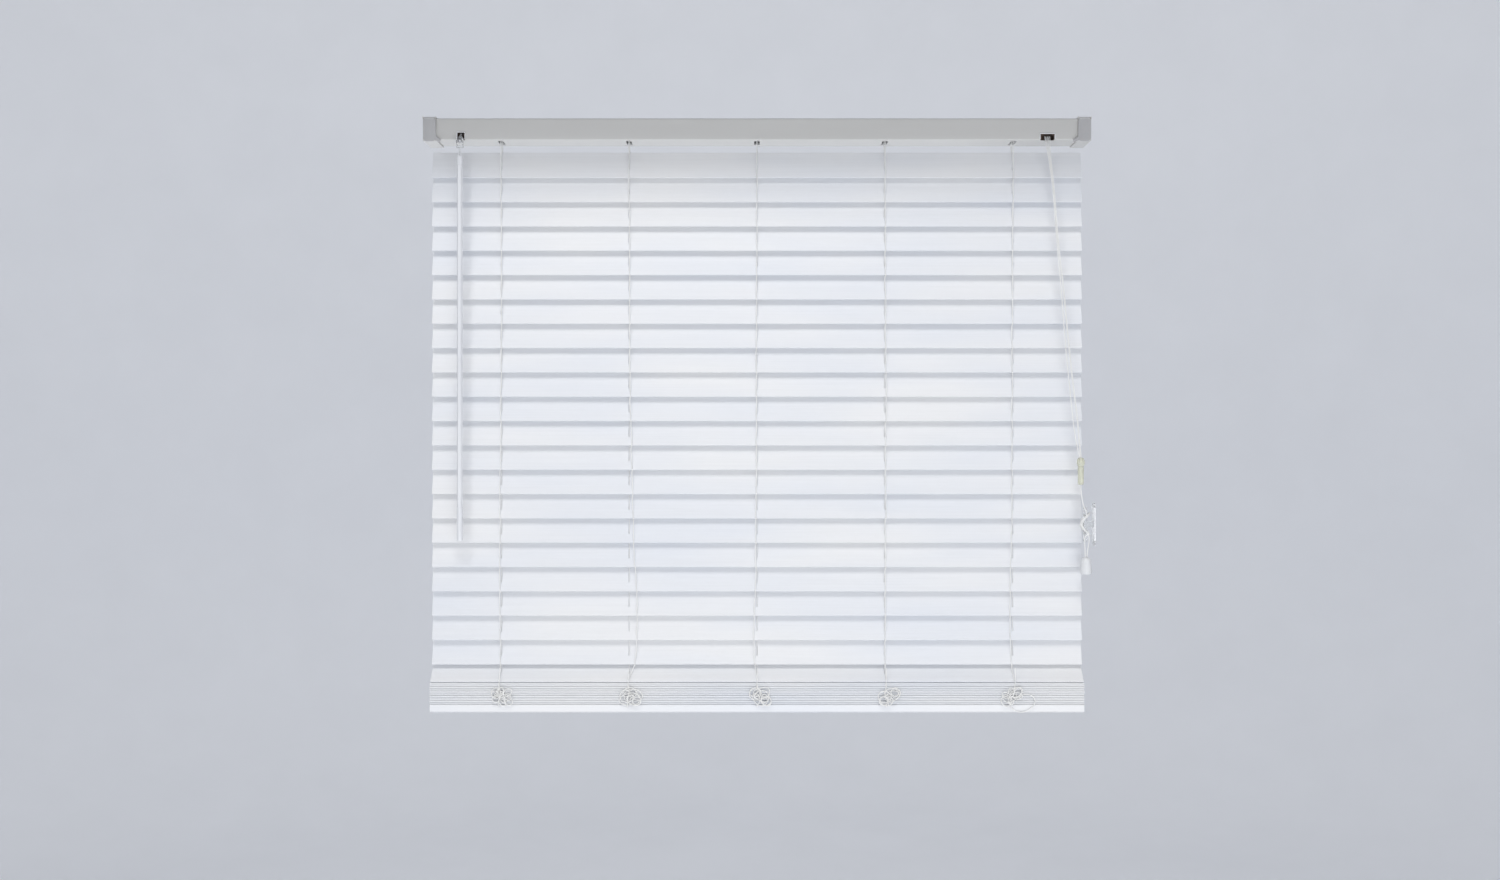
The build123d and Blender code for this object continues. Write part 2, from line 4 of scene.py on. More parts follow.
import bpy
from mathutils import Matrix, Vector


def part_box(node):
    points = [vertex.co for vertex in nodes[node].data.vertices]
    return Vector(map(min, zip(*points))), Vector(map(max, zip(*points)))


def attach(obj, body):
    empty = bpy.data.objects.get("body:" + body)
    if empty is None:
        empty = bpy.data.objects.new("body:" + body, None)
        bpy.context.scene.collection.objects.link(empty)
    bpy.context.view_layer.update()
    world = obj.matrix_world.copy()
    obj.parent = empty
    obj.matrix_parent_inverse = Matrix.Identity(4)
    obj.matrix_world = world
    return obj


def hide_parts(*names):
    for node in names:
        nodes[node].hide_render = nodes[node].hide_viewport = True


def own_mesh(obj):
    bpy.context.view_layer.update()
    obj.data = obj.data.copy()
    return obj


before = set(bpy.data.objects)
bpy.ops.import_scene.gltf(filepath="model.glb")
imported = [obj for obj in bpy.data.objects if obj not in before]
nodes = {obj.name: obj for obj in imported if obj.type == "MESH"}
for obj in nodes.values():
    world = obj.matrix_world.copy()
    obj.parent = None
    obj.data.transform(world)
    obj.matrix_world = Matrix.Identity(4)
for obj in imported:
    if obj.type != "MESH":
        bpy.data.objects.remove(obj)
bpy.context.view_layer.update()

# A venetian blind with 50 mm slats, seen from the room: +X right, +Y towards the window, +Z up, in metres.
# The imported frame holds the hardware; this script makes its cords, ladders, plugs and lips, all materials,
# and the studio. CAD nodes stay where they are.

# ---- sizes of the blind that the pieces below are worked out from ----
LADDER_XS = [0.232 * n for n in (-2, -1, 0, 1, 2)]
SLAT_PITCH = 0.0441
FIRST_SLAT_Z = -0.081
SLAT_COUNT = 22
SLAT_HALF = 0.025
SLAT_THICK = 0.0028
CLOSED = radians(75)
LEANING = radians(46)
FIRST_CARRIED = 9
STRING_R = 0.0008
STRING_Y = 0.0087
RUNG_R = 0.0002
FLAT_RUNG_R = 0.00013  # under the last slat, which lies down on the stack
KNOT_SWELL = 1.45  # how much thicker a string is where its rungs are tied in
CORD_R = 0.0007
TAIL_R = 0.0010

# ---- distances between the rings of a braided string ----
CORD_STEP = 0.0009
STRING_STEP = 0.0008
PLAIN_STEP = 0.0016  # where little of it is seen

rail_low, rail_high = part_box("headrail")
stack_low, stack_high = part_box("stacked_slats")
bar_low, bar_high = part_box("bottom_rail")
cleat_low, cleat_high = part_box("cord_cleat")
lean_low, lean_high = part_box("slat_22")


def slat_z(number):
    """Height of the axis of a hanging slat, counted from 1 at the top."""
    return FIRST_SLAT_Z - SLAT_PITCH * (number - 1)


# ================================ camera ================================
camera = bpy.data.objects.new("camera", bpy.data.cameras.new("camera"))
bpy.context.scene.collection.objects.link(camera)
camera.location = (-0.0126, -2.494, -0.580)
camera.rotation_euler = (radians(90), 0, 0)
camera.data.sensor_width = 36
camera.data.lens = 32.93
bpy.context.scene.camera = camera


# ================================ cords ================================
def link_mesh(name, vertices, faces, uvs=None):
    """A new smooth mesh object from vertices, faces and one uv pair for each face corner."""
    mesh = bpy.data.meshes.new(name)
    mesh.from_pydata(vertices, [], faces)
    if uvs:
        layer = mesh.uv_layers.new(name="braid")
        for loop, uv in zip(layer.data, uvs):
            loop.uv = uv
    for polygon in mesh.polygons:
        polygon.use_smooth = True
    piece = bpy.data.objects.new(name, mesh)
    bpy.context.scene.collection.objects.link(piece)
    return piece


def braided_tubes(name, lines, radius, sides=8, braid=0.10, lay=0.0032):
    """Round braided strings along several lines of points, in one mesh.

    The radius rises and falls in two crossing helices, as the strands of a braid do.
    The uv map runs around the string, and once along it in rings_a_tile rings.
    """
    rings_a_tile = 4
    vertices, faces, uvs = [], [], []
    for line in lines:
        points = [Vector(p) for p in line]
        first = len(vertices)
        along = 0.0
        across = None
        for count, point in enumerate(points):
            after = points[min(count + 1, len(points) - 1)]
            before = points[max(count - 1, 0)]
            forward = (after - before).normalized()
            if across is None:
                across = forward.cross(Vector((0, 1, 0)) if abs(forward.y) < 0.9 else Vector((1, 0, 0)))
            across = (across - forward * across.dot(forward)).normalized()
            other = forward.cross(across)
            if count:
                along += (point - points[count - 1]).length
            for side in range(sides):
                angle = tau * side / sides
                wave = sin(2 * angle + tau * along / lay) * sin(2 * angle - tau * along / lay)
                here = radius * (1 + braid * wave)
                vertices.append(point + across * here * cos(angle) + other * here * sin(angle))
        rings = len(points)
        for ring in range(rings - 1):
            for side in range(sides):
                after_side = (side + 1) % sides
                low = first + ring * sides
                high = low + sides
                faces.append((low + side, low + after_side, high + after_side, high + side))
                u, u_after = ring / rings_a_tile, (ring + 1) / rings_a_tile
                v, v_after = side / sides, (side + 1) / sides
                uvs += [(u, v), (u, v_after), (u_after, v_after), (u_after, v)]
        last = first + (rings - 1) * sides
        faces.append(tuple(first + side for side in reversed(range(sides))))
        faces.append(tuple(last + side for side in range(sides)))
        uvs += [(0, 0)] * (2 * sides)
    return link_mesh(name, vertices, faces, uvs)


def spline_line(points, step):
    """The line of the smooth curve that has these control points, as evenly spaced points read from it."""
    curve = bpy.data.curves.new("route", "CURVE")
    curve.dimensions = "3D"
    curve.resolution_u = 24
    spline = curve.splines.new("NURBS")
    spline.points.add(len(points) - 1)
    for place, point in zip(spline.points, points):
        place.co = (*point, 1)
    spline.order_u = 3
    spline.use_endpoint_u = True
    carrier = bpy.data.objects.new("route", curve)
    bpy.context.scene.collection.objects.link(carrier)
    mesh = bpy.data.meshes.new_from_object(carrier.evaluated_get(bpy.context.evaluated_depsgraph_get()))
    read = [vertex.co.copy() for vertex in mesh.vertices]
    bpy.data.objects.remove(carrier)
    bpy.data.curves.remove(curve)
    bpy.data.meshes.remove(mesh)
    line = [read[0]]
    for point in read[1:]:
        while (point - line[-1]).length > step:
            line.append(line[-1] + (point - line[-1]).normalized() * step)
    line.append(read[-1])
    return line


def make_cord(name, points, radius, body, replaced):
    """A braided cord on the smooth curve with these control points, riding a body."""
    line = spline_line(points, CORD_STEP)
    cord = braided_tubes(name, [line], radius)
    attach(cord, body)
    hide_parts(*replaced)
    return cord


# Five strands leave the lock in a bundle, hang in a group of two and one of three, and meet in the joiner.
strand_runs = [
    # height, x of the middle strand, y, step from strand to strand, half the gap between the groups
    (-0.034, 0.522, -0.0255, 0.0022, 0),
    (-0.043, 0.5224, -0.0295, 0.0020, 0),
    (-0.058, 0.5236, -0.0309, 0.0015, 0),
    (-0.084, 0.5268, -0.0316, 0.0010, 0),
    (-0.130, 0.5325, -0.0319, 0.00075, 0),
    (-0.190, 0.5366, -0.0326, 0.00075, 0.0001),
    (-0.250, 0.5416, -0.0330, 0.00075, 0.0004),
    (-0.308, 0.548, -0.0338, 0.00075, 0.0011),
    (-0.362, 0.552, -0.0342, 0.00075, 0.0015),
    (-0.420, 0.557, -0.0350, 0.00075, 0.0021),
    (-0.480, 0.5632, -0.0353, 0.00075, 0.0023),
    (-0.540, 0.570, -0.0362, 0.00075, 0.0032),
    (-0.578, 0.5736, -0.0370, 0.00075, 0.0020),
    (-0.600, 0.5772, -0.0375, 0.00075, 0.0008),
]
strand_groups = (-1, -1, 1, 1, 1)
strand_backs = (0, 0.0013, 0, 0.0013, 0)
middle_strand = 2
joined_step = strand_runs[-1][3]
joiner_x = 0.5795
joiner_in = -0.616
wand_y = -0.038

cords, slack_strings = [], []
for strand, (group, back) in enumerate(zip(strand_groups, strand_backs)):
    place = strand - middle_strand
    route = [
        (x + step * place + spread * group, y + back, z)
        for z, x, y, step, spread in strand_runs
    ]
    route.append((joiner_x + joined_step * place, wand_y + back - 0.0006, joiner_in))
    cords.append(make_cord(
        f"pull_cord_{strand + 1}", route, CORD_R, "root", ["pull_cords"],
    ))

# The tail cord comes down from the joiner, lies in figures of eight on the cleat and ends in the tassel.
cleat_z = (cleat_low.z + cleat_high.z) / 2
horn_middle_x = 0.587
winding_turns = 4
winding_steps = 60
first_turn, last_turn = radians(-40), radians(-360 * winding_turns - 172)
winding = []
for count in range(winding_steps + 1):
    turn = first_turn + (last_turn - first_turn) * count / winding_steps
    layer = -turn / tau
    # each half size grows from layer to layer, and wavers a little as a hand winds
    high = 0.0172 + 0.0007 * layer + 0.0014 * sin(0.61 * count)
    wide = 0.0076 + 0.0005 * layer + 0.0003 * sin(0.37 * count)
    front = 0.0054 + 0.0010 * layer + 0.0003 * sin(0.83 * count)
    winding.append((
        horn_middle_x + front * cos(2 * turn) + 0.0009 * sin(0.9 * layer + turn) ** 2,
        wand_y + wide * sin(2 * turn),
        cleat_z + high * cos(turn),
    ))
tail_route = [
    (joiner_x, wand_y, -0.660),
    (0.5799, -0.0386, -0.674),
    (0.5827, -0.0422, -0.696),
    (0.5880, -0.0460, -0.709),
]
tassel_route = [
    (0.5950, -0.0430, -0.7505),
    (0.5895, -0.0468, -0.7485),
    (0.5842, -0.0460, -0.753),
    (0.5848, -0.0450, -0.765),
    (0.5868, -0.0396, -0.7775),
    (0.5875, -0.0380, -0.793),
]
second_route = [
    (0.5912, -0.0462, -0.742),
    (0.5926, -0.0460, -0.753),
    (0.5924, -0.0450, -0.765),
    (0.5909, -0.0396, -0.7775),
    (0.5901, -0.0380, -0.793),
]

cords.append(make_cord(
    "tail_cord_wound", tail_route + winding + tassel_route, TAIL_R, "root", ["tail_cord", "cleat_winding"],
))
cords.append(make_cord(
    "tail_cord_return", second_route, TAIL_R, "root", ["tail_cord"],
))


# The slack of the ladder strings lies in loose loops in front of the stack and behind it.
def slack_route(x, outward, loops, reach, seed):
    """Control points of one string that wanders in oval loops; outward is -1 in front and 1 behind."""
    draw = random.Random(seed)
    near = abs(stack_low.y) + 2 * STRING_R
    inset = 0.004
    top = stack_high.z - inset
    middle = top - 0.019
    hand = draw.choice((-1, 1))
    phases = [draw.uniform(0, tau) for _ in range(5)]
    points_a_loop = 12
    route = [
        (x, outward * near, top + inset),
        (x + 0.0008 * hand, outward * near, top - inset),
    ]
    for count in range(loops * points_a_loop + 1):
        loop = count / points_a_loop
        long = reach * (1 + 0.15 * sin(2.3 * loop + phases[0]))
        wide = reach * 0.84 * (1 + 0.10 * sin(3.1 * loop + phases[1]))
        aim = radians(48) * sin(1.1 * loop + phases[2])
        turn = pi + tau * loop
        across, up = long * cos(turn), wide * sin(turn)
        # the middle of the loops drifts about, and each loop lies further out than the last
        drift_x = 0.006 + 0.0115 * sin(1.3 * loop + phases[3])
        drift_z = 0.0085 * sin(1.07 * loop + phases[4])
        route.append((
            x + hand * (across * cos(aim) - up * sin(aim) + drift_x),
            outward * (near + 0.0048 * loop / loops),
            middle + across * sin(aim) + up * cos(aim) + drift_z,
        ))
    route.append((x - 0.001, outward * (near + 0.0040), middle - 0.018))
    route.append((x, outward * (near + 0.0022), stack_low.z - inset))
    return route


# for each side, the seed of each ladder's loops: ones that bend gently and have the length above
slack_seeds = {-1: (41, 44, 73, 81, 19), 1: (113, 128, 132, 141, 156)}
for number, x in enumerate(LADDER_XS, 1):
    for outward, side in ((-1, "front"), (1, "back")):
        seed = slack_seeds[outward][number - 1]
        if outward == 1 or number < len(LADDER_XS):
            route = slack_route(x, outward, 10, 0.0096, seed)
        else:
            # the last front string ends in one long loop that hangs over the bottom rail
            route = slack_route(x, outward, 9, 0.0098, seed)
            low, high = bar_low.z - 0.0005, bar_high.z
            route[-2:] = [
                (x - 0.011, -0.0300, high + 0.008),
                (x - 0.008, -0.0300, low + 0.011),
                (x + 0.001, -0.0300, low + 0.004),
                (x + 0.013, -0.0300, low + 0.002),
                (x + 0.026, -0.0296, low + 0.007),
                (x + 0.036, -0.0292, high + 0.002),
                (x + 0.035, -0.0290, high + 0.013),
                (x + 0.025, -0.0288, high + 0.020),
                (x + 0.010, -0.0284, high + 0.018),
                (x + 0.002, -0.0280, high + 0.006),
            ]
        slack_strings.append(make_cord(
            f"slack_{side}_{number}", route, STRING_R, "bottom_rail", ["ladder_slack"],
        ))


# ================================ mesh helpers ================================
def revolved(name, profile, centre, sides=28):
    """A round piece about the vertical through centre, from a profile of (radius, height) points."""
    vertices, faces = [], []
    for radius, height in profile:
        for side in range(sides):
            angle = tau * side / sides
            vertices.append((
                centre[0] + radius * cos(angle),
                centre[1] + radius * sin(angle),
                centre[2] + height,
            ))
    for ring in range(len(profile) - 1):
        for side in range(sides):
            after = (side + 1) % sides
            low, high = ring * sides, (ring + 1) * sides
            faces.append((low + side, low + after, high + after, high + side))
    faces.append(tuple(reversed(range(sides))))
    faces.append(tuple((len(profile) - 1) * sides + side for side in range(sides)))
    return link_mesh(name, vertices, faces)


# ================================ ladders ================================
# How far each ladder strays sideways at a height, as hand-threaded strings do: (height, stray).
strays = [
    [(-0.05, 0.000), (-0.40, 0.0010), (-0.70, -0.0015), (-1.05, -0.001)],
    [(-0.05, 0.000), (-0.45, 0.0020), (-0.75, 0.0080), (-0.88, 0.0150), (-0.95, 0.0140), (-1.05, 0.003)],
    [(-0.05, 0.000), (-0.40, -0.0010), (-0.80, -0.0020), (-0.93, -0.0060), (-1.05, -0.001)],
    [(-0.05, 0.000), (-0.50, 0.0015), (-0.80, 0.0010), (-1.05, 0.000)],
    [(-0.05, 0.000), (-0.35, -0.0015), (-0.70, -0.0025), (-0.90, -0.0060), (-1.05, -0.001)],
]


def stray_at(ladder, z):
    """The sideways stray of a ladder at a height, between the heights that are given."""
    known = strays[ladder]
    if z >= known[0][0]:
        return known[0][1]
    for (z_above, stray_above), (z_below, stray_below) in zip(known, known[1:]):
        if z >= z_below:
            share = (z_above - z) / (z_above - z_below)
            share = share * share * (3 - 2 * share)
            return stray_above + (stray_below - stray_above) * share
    return known[-1][1]


string_pieces = []


def string_piece(name, lines, radius, body, **weave):
    """Braided strings in one piece that rides a body, kept in string_pieces for its material."""
    piece = braided_tubes(name, lines, radius, **weave)
    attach(piece, body)
    string_pieces.append(piece)
    return piece


def on_slat(number, across, up):
    """(y, z) of a point in a slat's own section: across from front to back, up from its middle."""
    if number == SLAT_COUNT:
        angle = LEANING
        y, z = (lean_low.y + lean_high.y) / 2, (lean_low.z + lean_high.z) / 2
    else:
        angle = CLOSED
        y, z = 0.0, slat_z(number)
    return y + across * cos(angle) - up * sin(angle), z + across * sin(angle) + up * cos(angle)


edge_reach = (SLAT_HALF + 0.0002) * sin(CLOSED)


def string_line(ladder, facing, high, low, seed):
    """Points down one ladder string; it is drawn in at each slat's edge, where its rungs are tied."""
    draw = random.Random(seed)
    swing = [draw.uniform(-1, 1) for _ in range(SLAT_COUNT + 3)]
    bulge = [draw.uniform(0.2, 1) for _ in range(SLAT_COUNT + 3)]
    points = []
    for count in range(int((high - low) / STRING_STEP) + 1):
        z = high - STRING_STEP * count
        place = (FIRST_SLAT_Z + facing * edge_reach - z) / SLAT_PITCH
        between = place % 1
        slat = min(max(int(place // 1) + 1, 0), SLAT_COUNT + 1)
        sway = swing[slat] * 0.0011 * sin(pi * between) + 0.0005 * sin(tau * between + swing[slat] * 3)
        kink = 0.0005 * max(0, 1 - 12 * min(between, 1 - between))
        out = 0.00025 * bulge[slat] * sin(pi * between)
        points.append((
            LADDER_XS[ladder] + stray_at(ladder, z) + sway + kink,
            facing * (STRING_Y + out),
            z,
        ))
    return points


def rung_knots(ladder, facing, numbers):
    """Short thick stretches of string where the rungs of these slats are tied in."""
    lines = []
    for number in numbers:
        z = slat_z(number) + facing * edge_reach
        x = LADDER_XS[ladder] + stray_at(ladder, z) + 0.0005
        lines.append([(x, facing * STRING_Y, z + 0.0014 * part) for part in (-1, -0.5, 0, 0.5, 1)])
    return lines


def ladder_part(name, facing, high, low, numbers, body, seed):
    """The strings of all five ladders between two heights, with their knots, riding a body."""
    ladders = range(len(LADDER_XS))
    strings = [string_line(ladder, facing, high, low, seed + ladder) for ladder in ladders]
    knots = [line for ladder in ladders for line in rung_knots(ladder, facing, numbers)]
    piece = string_piece(name, strings, STRING_R, body)
    knot_piece = string_piece(name + "_knots", knots, STRING_R * KNOT_SWELL, body, braid=0.18)
    return piece, knot_piece


front_split = slat_z(FIRST_CARRIED - 1) - edge_reach
back_split = slat_z(FIRST_CARRIED - 1) + edge_reach
upper = range(1, FIRST_CARRIED)
lower = range(FIRST_CARRIED, SLAT_COUNT)
front_top = slat_z(1) - edge_reach
back_top = rail_high.z - 0.005
front_seed, back_seed = 100, 200
last_front = slat_z(SLAT_COUNT - 1) - edge_reach
last_back = slat_z(SLAT_COUNT - 1) + edge_reach

for name, facing, high, low, numbers, body, seed in (
    ("ladder_strings_front_upper", -1, front_top, front_split, upper, "ladder_front", front_seed),
    ("ladder_strings_front_lower", -1, front_split, last_front - 0.001, lower, "ladder_front", front_seed),
    ("ladder_strings_back_upper", 1, back_top, back_split, upper, "ladder_back", back_seed),
    ("ladder_strings_back_lower", 1, back_split, last_back - 0.001, lower, "ladder_back", back_seed),
):
    made = ladder_part(name, facing, high, low, numbers, body, seed)
    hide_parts(body)
    if "lower" in name:
        for part in made:
            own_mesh(part)

# The strings' stretch from the drums to the first slat. In front it shortens as the slats turn over.
back_link_top = -0.030
back_link_points = 35
front_link = string_piece(
    "ladder_strings_front_link",
    [
        string_line(ladder, -1, rail_low.z + 0.004, front_top - 0.0005, front_seed + ladder)
        for ladder in range(len(LADDER_XS))
    ],
    STRING_R, "root",
)
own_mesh(front_link)
link_zs = [back_link_top - STRING_STEP * count for count in range(back_link_points)]
string_piece(
    "ladder_strings_back_link",
    [[(x + 0.0003, STRING_Y + 0.0002, z) for z in link_zs] for x in LADDER_XS],
    STRING_R * 0.98, "root",
)


def arc_line(points, step=STRING_STEP):
    """Points about a step apart along a smooth curve through these points."""
    fine = []
    padded = [points[0], *points, points[-1]]
    for before, start, end, after in zip(padded, padded[1:], padded[2:], padded[3:]):
        b, s, e, a = Vector(before), Vector(start), Vector(end), Vector(after)
        count = max(2, int((e - s).length / step))
        for part in range(count):
            t = part / count
            fine.append(0.5 * (
                2 * s + (e - b) * t + (2 * b - 5 * s + 4 * e - a) * t * t + (3 * s - b - 3 * e + a) * t ** 3
            ))
    fine.append(Vector(points[-1]))
    return fine


# Below the last hanging slat the strings pass over the leaning slat's edges and run down into the slack.
lean_y, lean_z = on_slat(SLAT_COUNT, -SLAT_HALF, 0)
swept_r = 0.0526  # just beyond the back edge of the leaning slat as it lies down about its front edge
front_ends, back_ends, front_runs = [], [], []
for ladder, x in enumerate(LADDER_XS):
    x_last = x + stray_at(ladder, last_front)
    front_runs.append(arc_line([
        (x_last, -STRING_Y, last_front),
        (x_last * 0.6 + x * 0.4, -0.0100, last_front - 0.010),
        (x, lean_y - 0.0014, lean_z + 0.004),
    ]))
    front_ends.append(arc_line([
        (x + 0.0012, -0.0235, lean_z + 0.026),
        (x + 0.0008, -0.0258, lean_z + 0.010),
        (x, -0.0270, stack_high.z - 0.002),
        (x - 0.0004, -0.0270, stack_high.z - 0.014),
    ]))
    swept = [
        (x + 0.0015, lean_y + swept_r * cos(angle), lean_z + swept_r * sin(angle))
        for angle in (radians(a) for a in (44, 30, 15, 2))
    ]
    back_ends.append(arc_line([
        (x + 0.0015, 0.0102, last_back - 0.004),
        (x + 0.0015, 0.0130, last_back - 0.024),
        *swept,
        (x + 0.0010, 0.0290, stack_high.z - 0.010),
        (x, 0.0268, stack_high.z - 0.018),
    ]))
for name, lines in (("ladder_strings_front_end", front_ends), ("ladder_strings_back_end", back_ends)):
    string_piece(name, lines, STRING_R, "bottom_rail")
front_run = string_piece("ladder_strings_front_run", front_runs, STRING_R, "ladder_front")
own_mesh(front_run)

# Two thin rungs under each slat at each ladder join the front string to the back string.
rung_end = 0.0262
rung_spread = 0.0022
rung_taper = 0.004
for number in range(1, SLAT_COUNT + 1):
    lines = []
    rung_r = RUNG_R if number < SLAT_COUNT else FLAT_RUNG_R
    under = -(SLAT_THICK / 2 + rung_r + 0.00003)
    half = [(0.0240, under), (0.0256, -0.0013), (rung_end, -0.0004)]
    path = [(-across, up) for across, up in reversed(half)] + [(0.0, under)] + half
    for ladder, x in enumerate(LADDER_XS):
        for side in (-1, 1):
            points = []
            for across, up in path:
                y, z = on_slat(number, across, up)
                apart = rung_spread * side * min(1, (rung_end - abs(across)) / rung_taper)
                lean = stray_at(ladder, z) * max(0, -across) / SLAT_HALF if number < SLAT_COUNT else 0
                points.append((x + apart + lean, y, z))
            lines.append(arc_line(points, PLAIN_STEP))
    string_piece(f"rungs_{number:02d}", lines, rung_r, f"slat_{number:02d}", sides=6, braid=0.06, lay=0.002)


def straight_cord(x, top, drop):
    """Points straight down a lift cord."""
    count = int(drop / CORD_STEP)
    return [(x, 0.0, top - drop * part / count) for part in range(count + 1)]


# Lift cords from the lock along the rail, each in its own lane, and down to the first slat that rises.
lane_z = -0.0335
lanes = (0.005, 0.0025, -0.005, -0.0025, 0.0)
lock_left = 0.500
turn_end_z = lane_z - 0.005
cord_drop = turn_end_z - slat_z(FIRST_CARRIED)
rail_lines = [
    arc_line([
        (x, 0.0, turn_end_z),
        (x + 0.0008, 0.0, lane_z - 0.0012),
        (x + 0.0050, lane * 0.25, lane_z),
        (x + 0.012 + 2.3 * abs(lane), lane, lane_z),
        (lock_left, lane * 0.9, lane_z + 0.0004),
    ], PLAIN_STEP)
    for x, lane in zip(LADDER_XS, lanes)
]
cords_in_rail = string_piece("lift_cord_in_rail", rail_lines, CORD_R, "root")
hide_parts("lift_cord_01")
drop_lines = [straight_cord(x, turn_end_z, cord_drop) for x in LADDER_XS]
cords_down = string_piece("lift_cord_drop", drop_lines, CORD_R, "root")
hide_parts("lift_cord_01")
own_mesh(cords_down)

# Lift cords between the slats that rise; each stretch shortens as the blind is lifted.
for number in range(FIRST_CARRIED, SLAT_COUNT - 1):
    high = slat_z(number)
    lines = [straight_cord(x, high, SLAT_PITCH) for x in LADDER_XS]
    stretch = string_piece(f"lift_cord_braid_{number:02d}", lines, CORD_R, f"lift_cord_{number:02d}")
    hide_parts(f"lift_cord_{number:02d}")
    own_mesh(stretch)

# A plug under the bottom rail covers each lift cord's knot.
plug_head = 0.0021
plug_profile = [
    (0.0010, 0.0), (0.0048, 0.0002), (0.0062, 0.0007), (0.0066, 0.0013), (0.0064, 0.0019),
    (0.0052, plug_head), (0.0049, 0.0024), (0.0046, 0.0060), (0.0036, 0.0062), (0.0034, 0.0030),
    (0.0010, 0.0028),
]
plugs = []
for number, x in enumerate(LADDER_XS, 1):
    plug = revolved(f"rail_plug_{number}", plug_profile, (x, 0.0, bar_low.z - plug_head))
    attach(plug, "bottom_rail")
    plugs.append(plug)

# A white lip lines each corner opening of the headrail on three sides; the cords and the stem leave below.
LIP_R = 0.0009


def opening_lip(name, x, half_wide, top):
    """A lip of rounded section around an opening in the front face, standing just proud of it."""
    y = rail_low.y - 0.0006
    low = rail_low.z + 0.0012
    half = half_wide + LIP_R
    corner = 0.0012
    cut = corner * 0.3
    side = [
        (half, low), (half, (low + top) / 2), (half, top - corner),
        (half - cut, top - cut), (half - corner, top),
    ]
    line = [(x - away, y, z) for away, z in side]
    line.append((x, y, top))
    line += [(x + away, y, z) for away, z in reversed(side)]
    lip = braided_tubes(name, [line], LIP_R, sides=12, braid=0.0)
    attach(lip, "root")
    return lip


lips = [
    opening_lip("tilter_opening_lip", -0.532, 0.0063, -0.0266),
    opening_lip("lock_opening_lip", 0.522, 0.0125, -0.0291),
]


# ================================ materials ================================
MIX_A, MIX_B, MIX_RESULT = 6, 7, 2  # the colour sockets of a Mix node, whose names are not unique


def new_material(name, color, roughness, metallic=0.0, **sockets):
    """A material with its shader, and that shader, ready for its detail."""
    material = bpy.data.materials.new(name)
    material.use_nodes = True
    shader = material.node_tree.nodes["Principled BSDF"]
    shader.inputs["Base Color"].default_value = (*color, 1)
    shader.inputs["Roughness"].default_value = roughness
    shader.inputs["Metallic"].default_value = metallic
    for socket, value in sockets.items():
        shader.inputs[socket.replace("_", " ")].default_value = value
    return material, shader


def add_node(material, kind, **values):
    """A new node; settings that are sockets go to the socket, and the others to the node."""
    node = material.node_tree.nodes.new(kind)
    for key, value in values.items():
        name = key.replace("_", " ")
        if name in node.inputs:
            node.inputs[name].default_value = value
        else:
            setattr(node, key, value)
    return node


def join(material, start, end):
    material.node_tree.links.new(start, end)


def stretched(material, scale):
    """Object coordinates multiplied by a scale on each axis."""
    where = add_node(material, "ShaderNodeTexCoord")
    mapping = add_node(material, "ShaderNodeMapping")
    mapping.inputs["Scale"].default_value = scale
    join(material, where.outputs["Object"], mapping.inputs["Vector"])
    return mapping.outputs["Vector"]


def noise(material, scale, fineness, detail=3.0, roughness=0.55):
    """A noise pattern in object space, as one output from 0 to 1."""
    node = add_node(material, "ShaderNodeTexNoise", Scale=fineness, Detail=detail, Roughness=roughness)
    join(material, stretched(material, scale), node.inputs["Vector"])
    return node.outputs["Fac"]


def ramp(material, source, stops):
    """A colour ramp over a pattern; stops are (place, colour)."""
    node = add_node(material, "ShaderNodeValToRGB")
    elements = node.color_ramp.elements
    while len(elements) < len(stops):
        elements.new(0.5)
    for element, (place, color) in zip(elements, stops):
        element.position = place
        element.color = (*color, 1)
    join(material, source, node.inputs["Fac"])
    return node.outputs["Color"]


def spread(material, source, low, high):
    """A pattern from 0 to 1 turned into a value between low and high."""
    node = add_node(material, "ShaderNodeMapRange")
    node.inputs["To Min"].default_value = low
    node.inputs["To Max"].default_value = high
    join(material, source, node.inputs["Value"])
    return node.outputs["Result"]


def bump(material, shader, sources, distance):
    """Bump from several (pattern, strength) pairs, one on top of the other."""
    last = None
    for source, strength in sources:
        node = add_node(material, "ShaderNodeBump", Strength=strength, Distance=distance)
        join(material, source, node.inputs["Height"])
        if last is not None:
            join(material, last, node.inputs["Normal"])
        last = node.outputs["Normal"]
    join(material, last, shader.inputs["Normal"])


def multiplied(material, share, under, over):
    """One colour multiplied by a share of another."""
    mix = add_node(material, "ShaderNodeMix", data_type="RGBA", blend_type="MULTIPLY")
    mix.inputs["Factor"].default_value = share
    join(material, under, mix.inputs[MIX_A])
    join(material, over, mix.inputs[MIX_B])
    return mix.outputs[MIX_RESULT]


